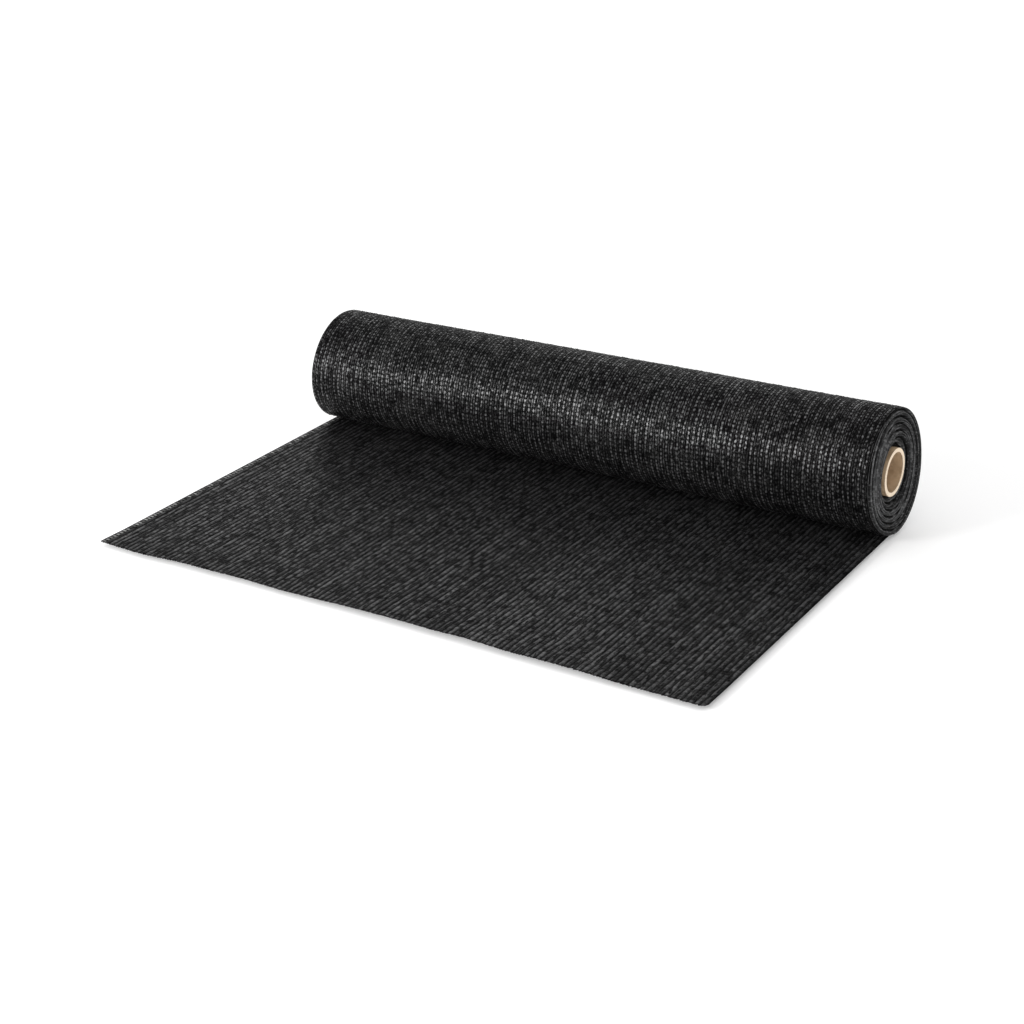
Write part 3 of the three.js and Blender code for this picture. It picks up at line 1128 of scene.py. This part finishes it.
    def at(self, end: RollEnd, y: Array, z: Array, out: Array) -> Array:
        """Points at an end of the roll, in the part's frame.

        Args:
            end: the end of the roll.
            y: places from the middle of the roll.
            z: heights above the floor.
            out: how far each stands out.

        Returns:
            One point to a row.
        """
        core_y, core_z = self.core_axis(end.side)
        spoke = np.hypot(y - core_y, z - core_z)
        share = ease((spoke - self.bore_radius) / (0.6 * self.mean_radius))
        x = self.rim_x(end, y, z, out, share)
        return np.stack([x + ROLL_MIDDLE[0], y + ROLL_MIDDLE[1], z], axis=-1)

    def make(self, netting: Material, edges: Material) -> None:
        """Makes the roll's pieces and ties them to the part.

        Args:
            netting: the netting's material.
            edges: the material of the turns' edges.
        """
        pieces = [self.wrap(netting)]
        pieces += [self.turn_edges(end, edges) for end in self.ends]
        for piece in pieces:
            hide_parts("netting_roll")
            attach(piece, "root")
            log.info("%s: %d faces", piece.name, len(piece.data.polygons))


@dataclass(frozen=True)
class EdgeWave:
    """A low wave where the cut edge lifts off the floor."""

    x: float
    half_width: float
    reach: float
    lift: float
    set_back: float


@dataclass
class LooseEnd:
    """The loose end of the netting, laid out flat in front of the roll."""

    knit: Knit
    length: float = 0.6385
    rear_left: float = -6.9 * MM
    rear_right: float = 0.8 * MM
    shear: float = 0.03
    waves: tuple[EdgeWave, ...] = (
        EdgeWave(-0.500, 0.055, 0.060, 1.0 * MM, -4.2 * MM),
        EdgeWave(-0.425, 0.080, 0.090, 0.3 * MM, -6.0 * MM),
        EdgeWave(-0.325, 0.110, 0.090, 1.4 * MM, -1.3 * MM),
        EdgeWave(-0.235, 0.080, 0.080, 1.0 * MM, 0.8 * MM),
        EdgeWave(0.020, 0.220, 0.130, 2.4 * MM, 2.6 * MM),
        EdgeWave(0.145, 0.065, 0.080, 1.6 * MM, 1.0 * MM),
        EdgeWave(0.270, 0.130, 0.100, 2.4 * MM, 0.4 * MM),
    )
    corner_cuts: tuple[float, float] = (0.6 * MM, 2.6 * MM)
    hidden: float = 0.0595
    hidden_rows: int = 5
    stitches: int = 82
    tooth: float = 1.3 * MM
    under_rows: int = 20
    floor_gap: float = 0.15 * MM
    raised_edge: float = 1.2 * MM
    cloth_height: float = 0.75 * MM
    edge_press: float = 0.45 * MM
    side_rise: float = 0.15 * MM
    thinnest: float = 0.12 * MM

    def floor_side(self, across: Array, y: Array) -> tuple[Array, Array, Array]:
        """The underside: flat on the floor, sheared sideways, lifted near the cut edge.

        Each wave adds its lift times a hump across the width times a hump in the distance from
        the cut edge, and draws the edge back by its set-back in the same way.

        Args:
            across: place across the width, in metres from the middle.
            y: distance in front of the middle of the roll, as a negative number.

        Returns:
            The x, y and z of each point, from the middle of the roll.
        """
        lift = np.zeros(np.broadcast(across, y).shape)
        back = np.zeros_like(lift)
        for wave in self.waves:
            share = hump((across - wave.x) / wave.half_width) * hump((y + self.length) / wave.reach)
            lift = lift + wave.lift * share
            back = back + wave.set_back * share
        half = self.knit.width / 2
        cut = np.zeros_like(lift)
        for side, depth in zip((-1.0, 1.0), self.corner_cuts):
            near = hump((side * across - half) / (3 * depth))
            near = near * hump((y + self.length) / (3 * depth))
            cut = cut + depth * near
            across = across - side * depth * near
        return across - self.shear * y, y + back + cut, lift

    def make(self, material: Material) -> bpy.types.Object:
        """Makes the loose end as a thin closed sheet, knitted on top, and ties it to the part.

        Args:
            material: the netting's material.

        Returns:
            The finished piece.
        """
        knit = self.knit
        stitch_rows = knit.rows(self.stitches)
        columns = knit.columns()
        shown = self.length - self.hidden
        y_shown = -self.hidden - shown * stitch_rows / self.stitches
        hidden_share = np.linspace(0.0, 1.0, self.hidden_rows + 1)[:-1]
        rear = self.rear_left + (self.rear_right - self.rear_left) * columns / knit.wales
        y_hidden = rear + (-self.hidden - rear) * hidden_share[:, None]
        relief = knit.relief(stitch_rows, 71)
        sideways, along = knit.sway(stitch_rows, 81)
        relief = np.concatenate([np.repeat(relief[:1], self.hidden_rows, axis=0), relief])
        sideways = np.concatenate([np.zeros((self.hidden_rows, len(columns))), sideways])
        along = np.concatenate([np.zeros((self.hidden_rows, len(columns))), along])
        across = (columns / knit.wales - 0.5)[None, :] * knit.width + sideways
        y_shown = np.broadcast_to(y_shown[:, None], (len(y_shown), len(columns)))
        y = np.concatenate([y_hidden, y_shown]) + along
        chance = np.random.default_rng(91)
        teeth = np.where(np.arange(len(columns)) % 2 == 0, self.tooth, -0.6 * self.tooth)
        teeth = teeth + 0.6 * self.tooth * chance.uniform(-1, 1, len(columns))
        under_x, under_y, lift = self.floor_side(across, y)
        all_rows = np.append(np.full(self.hidden_rows, -9.0), stitch_rows)
        last_stitch = ease((stitch_rows[-1] - all_rows) / 0.4)
        top_z = lift + (self.cloth_height + relief - self.edge_press * (1 - last_stitch[:, None]))
        top_y = under_y + teeth[None, :] * (1 - last_stitch[:, None])
        half_edge = np.zeros(len(columns))
        half_edge[[0, -1]] = self.side_rise
        top_z = top_z + half_edge[None, :]
        top = np.stack([under_x + ROLL_MIDDLE[0], top_y + ROLL_MIDDLE[1], top_z], axis=-1)
        v = np.concatenate([self.hidden * (hidden_share - 1) / knit.stitch, stitch_rows])
        pattern = paired(columns[None, :], v[:, None])
        share = (v - v[0]) / (v[-1] - v[0])
        bake = paired(columns[None, :] / knit.wales, 0.9 * share[:, None])
        surface = Surface("netting_loose_end")
        surface.add(top, pattern, bake, flip=True)
        pick = np.round(np.linspace(0, len(v) - 1, self.under_rows + 1)).astype(int)
        raised = self.floor_gap + self.raised_edge * ease((v / v[-1] - 0.9) / 0.1)[:, None]
        floor_z = np.minimum(lift + raised, top_z - self.thinnest)
        floor = np.stack([under_x, top_y, floor_z], axis=-1)[pick]
        floor = floor + np.array([ROLL_MIDDLE[0], ROLL_MIDDLE[1], 0.0])
        under_bake = paired(columns[None, :] / knit.wales, 1.0 - 0.08 * share[pick][:, None])
        surface.add(floor, pattern[pick], under_bake)
        for row, under_row, flip in ((0, 0, False), (-1, -1, True)):
            wall = np.stack([top[row], floor[under_row]])
            wall_map = np.stack([pattern[row], pattern[row] + [0.0, 0.2]])
            wall_bake = np.stack([bake[row], bake[row] + [0.0, 0.01]])
            surface.add(wall, wall_map, wall_bake, flip=flip)
        for column, turned in ((0, True), (-1, False)):
            self.side_wall(surface, top[:, column], floor[:, column], pick, pattern[:, column],
                           bake[:, column], turned)
        piece = surface.build([material])
        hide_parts("loose_end")
        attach(piece, "root")
        log.info("%s: %d faces", piece.name, len(piece.data.polygons))
        return piece

    @staticmethod
    def side_wall(surface: Surface, top: Array, floor: Array, pick: Array,
                  pattern: Array, bake: Array, turned: bool) -> None:
        """Closes one long side with triangles between many points on top and few underneath.

        Args:
            surface: the mesh that is being put together.
            top: points along the top of the side.
            floor: points along its underside.
            pick: which top points the underside's points lie under.
            pattern: the top points' places in the knit's own map.
            bake: their places in the map that pictures are baked through.
            turned: turns the faces round.
        """
        count = len(top)
        below = np.searchsorted(pick, np.arange(count), side="right") - 1
        below = np.minimum(below, len(pick) - 1)
        first = np.arange(count - 1)
        fans = np.stack([first, count + below[first], first + 1], axis=1)
        change = first[below[first + 1] != below[first]]
        steps = np.stack([change + 1, count + below[change], count + below[change + 1]], axis=1)
        faces = np.concatenate([fans, steps])
        if turned:
            faces = faces[:, ::-1]
        points = np.concatenate([top, floor])
        surface.place(points, faces, np.concatenate([pattern, pattern[pick]]),
                      np.concatenate([bake, bake[pick]]))


# The core


@dataclass
class CardboardCore:
    """The cardboard tube inside the roll, cut square at both ends."""

    outer: float = 0.037
    inner: float = 0.0307
    length: float = 0.996
    edge: float = 0.6 * MM
    end_ring: float = 0.4 * MM
    roughness: float = 0.05 * MM
    columns: int = 144
    wall_rings: int = 19
    long_rings: int = 180
    joint_pitch: float = 0.118
    joint_depth: float = 0.12 * MM
    ply_depth: float = 0.10 * MM

    def ring(self, x: Array, radius: Array) -> Array:
        """Rings of points round the core's axis, which rises evenly from left to right.

        Args:
            x: place of each ring along the core, one to a row.
            radius: radius of each point, one to a row and column.

        Returns:
            Points by row and column.
        """
        angle = np.linspace(0.0, TURN, self.columns + 1)
        angle[-1] = 0.0
        share = x + 0.5
        y, z = (left + (right - left) * share for left, right in zip(CORE_LEFT, CORE_RIGHT))
        out = np.empty((len(x), self.columns + 1, 3))
        out[..., 0] = (x + ROLL_MIDDLE[0])[:, None]
        out[..., 1] = (y + ROLL_MIDDLE[1])[:, None] + radius * np.cos(angle)
        out[..., 2] = z[:, None] + radius * np.sin(angle)
        return out

    def joint(self, x: Array) -> Array:
        """Depth of the spiral joint: a narrow hump round one line that winds along the tube."""
        turn = np.linspace(0.0, 1.0, self.columns + 1)
        helix = np.mod(x[:, None] / self.joint_pitch - turn[None, :], 1.0) - 0.5
        return self.joint_depth * hump(helix / 0.04)

    def make(self, wall: Material, cut: Material) -> bpy.types.Object:
        """Makes the tube and ties it to the part.

        Args:
            wall: material of the paper's face.
            cut: material of the sawn ends.

        Returns:
            The finished piece.
        """
        half = self.length / 2
        turn = np.linspace(0.0, 1.0, self.columns + 1)
        surface = Surface("cardboard_core")
        last = half - self.edge
        inner_run = np.linspace(self.end_ring - last, last - self.end_ring, self.long_rings)
        run = np.concatenate([[-last], inner_run, [last]])
        walls = ((self.outer, -1.0, False, 0.0), (self.inner, 1.0, True, 0.45))
        for radius, sign, flip, low in walls:
            points = self.ring(run, radius + sign * self.joint(run))
            pattern = paired(turn[None, :], run[:, None])
            bake = paired(turn[None, :], low + 0.43 * (run[:, None] + half) / self.length)
            surface.add(points, pattern, bake, flip=flip)
        for side, low in ((-1.0, 0.90), (1.0, 0.95)):
            share = np.linspace(0.0, 1.0, self.wall_rings)
            end_x = np.full(1, side * (half - self.edge))
            radii = self.inner + (self.outer - self.inner) * share
            from_side = np.minimum(radii - self.inner, self.outer - radii)
            short = 1 - np.minimum(from_side / self.edge, 1.0)
            round_off = self.edge * (1 - np.sqrt(1 - np.square(short)))
            ply = self.ply_depth * (np.arange(self.wall_rings) % 2) * (from_side > self.edge)
            x = side * (half - round_off - ply)
            rough = drift(turn[None, :] * 60 % 60, share[:, None] * 9, 5 + int(side))
            rough = self.roughness * rough
            points = self.ring(x, radii[:, None])
            points[..., 0] += rough * (from_side > 0)[:, None]
            seam_in = self.ring(end_x, self.inner + self.joint(end_x))
            seam_out = self.ring(end_x, self.outer - self.joint(end_x))
            points[0], points[-1] = seam_in[0], seam_out[0]
            points[:, -1] = points[:, 0]
            pattern = paired(turn[None, :], share[:, None])
            bake = paired(turn[None, :], low + 0.045 * share[:, None])
            surface.add(points, pattern, bake, flip=side < 0, finish=1)
        piece = surface.build([wall, cut])
        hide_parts("core_tube")
        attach(piece, "root")
        log.info("%s: %d faces", piece.name, len(piece.data.polygons))
        return piece


# The studio


@dataclass(frozen=True)
class Softbox:
    """An oblong soft light: where it stands, what it faces, its size and its strength."""

    name: str
    place: Triple
    target: Triple
    width: float
    height: float
    power: float


@dataclass
class Studio:
    """A plain white room: pale floor, even surroundings, soft lights and the camera."""

    lens: float = 77.25
    azimuth: float = 31.76
    elevation: float = 22.64
    camera_place: Triple = (1.59484, -2.57703, 1.2900)
    sensor: float = 36.0
    floor_half: float = 30.0
    floor_level: float = -6.0 * MM
    floor_glow: float = 0.18
    far_glow: float = 0.7
    low_sky: float = 0.93
    high_sky: float = 0.85
    lights: tuple[Softbox, ...] = (
        Softbox("Front softbox", (-1.7, -2.9, 0.95), (0.0, 0.25, 0.1), 1.2, 1.9, 125.0),
        Softbox("Back softbox", (-1.9, 3.4, 2.4), (0.0, 0.2, 0.0), 3.2, 2.4, 20.0),
    )

    def camera(self) -> None:
        """Sets up the camera, which looks down at the part from the front right."""
        data = bpy.data.cameras.new("Camera")
        data.lens = self.lens
        data.sensor_width = self.sensor
        data.clip_end = 100.0
        turn, rise = math.radians(self.azimuth), math.radians(self.elevation)
        level = math.cos(rise)
        back = Vector((math.sin(turn) * level, -math.cos(turn) * level, math.sin(rise)))
        camera = bpy.data.objects.new("Camera", data)
        camera.location = self.camera_place
        camera.rotation_mode = "QUATERNION"
        camera.rotation_quaternion = (-back).to_track_quat("-Z", "Y")
        bpy.context.scene.collection.objects.link(camera)
        bpy.context.scene.camera = camera

    def floor(self) -> None:
        """Lays the floor, which glows more far off, where less of the soft light reaches."""
        half, level = self.floor_half, self.floor_level
        mesh = bpy.data.meshes.new("Floor")
        mesh.from_pydata([(-half, -half, level), (half, -half, level), (half, half, level),
                          (-half, half, level)], [], [(0, 1, 2, 3)])
        material, w, shader = Finish.start("Pale floor", 0.9, 1.3)
        shader.inputs["Base Color"].default_value = colour_of(0.9, 0.9, 0.9)
        shader.inputs["Emission Color"].default_value = colour_of(1.0, 1.0, 1.0)
        place = w.node("ShaderNodeTexCoord").outputs["Object"]
        distance = w.node("ShaderNodeVectorMath", {0: place}, operation="LENGTH").outputs["Value"]
        glow = w.step(distance, 1.2, 5.0, self.floor_glow, self.far_glow)
        w.feed(shader.inputs["Emission Strength"], glow)
        mesh.materials.append(material)
        floor = bpy.data.objects.new("Floor", mesh)
        bpy.context.scene.collection.objects.link(floor)

    def surroundings(self) -> None:
        """Lights the room evenly, a little less from overhead."""
        world = bpy.data.worlds.new("Studio")
        world.use_nodes = True
        bpy.context.scene.world = world
        w = Wiring(world.node_tree)
        background = world.node_tree.nodes["Background"]
        way = w.node("ShaderNodeTexCoord").outputs["Generated"]
        height = w.node("ShaderNodeSeparateXYZ", {0: way}).outputs[2]
        strength = w.step(height, 0.35, 0.9, self.low_sky, self.high_sky)
        w.feed(background.inputs["Color"], colour_of(1.0, 1.0, 1.0))
        w.feed(background.inputs["Strength"], strength)

    def softboxes(self) -> None:
        """Hangs the soft lights."""
        for box in self.lights:
            data = bpy.data.lights.new(box.name, "AREA")
            data.shape = "RECTANGLE"
            data.size = box.width
            data.size_y = box.height
            data.energy = box.power
            light = bpy.data.objects.new(box.name, data)
            light.location = box.place
            light.rotation_mode = "QUATERNION"
            aim = Vector(box.target) - Vector(box.place)
            light.rotation_quaternion = aim.to_track_quat("-Z", "Y")
            bpy.context.scene.collection.objects.link(light)

    def make(self) -> None:
        """Builds the whole studio."""
        self.camera()
        self.floor()
        self.surroundings()
        self.softboxes()
        bpy.context.scene.view_settings.view_transform = "Standard"


def main() -> None:
    """Builds the studio and every piece of the part, in order."""
    logging.basicConfig(level=logging.INFO, format="%(name)s %(message)s")
    Studio().make()
    stitches, lint = knit_group(), lint_group()
    wound = Knit(tape_height=0.35 * MM)
    laid = Knit(chain_height=0.70 * MM, tape_height=0.42 * MM, dip=0.25, chance_height=0.06 * MM)
    wound_finish = NettingFinish(wales=wound.wales)
    laid_finish = NettingFinish(name="Shade netting, laid flat", bead_share=0.3, tape_share=0.2,
                                chain_width=0.46, tape_width=0.15, grain_share=0.25, gloss=0.36,
                                painted_left_edge_glints=1.0, sway=0.10, grain=0.0001,
                                ridge=(0.034, 0.034, 0.035), wales=laid.wales)
    WoundRoll(wound).make(wound_finish.material(stitches, lint), TurnEdgeFinish().material(lint))
    LooseEnd(laid).make(laid_finish.material(stitches, lint))
    CardboardCore().make(CardboardFinish().material(), CutCardFinish().material())


if __name__ == "__main__":
    main()
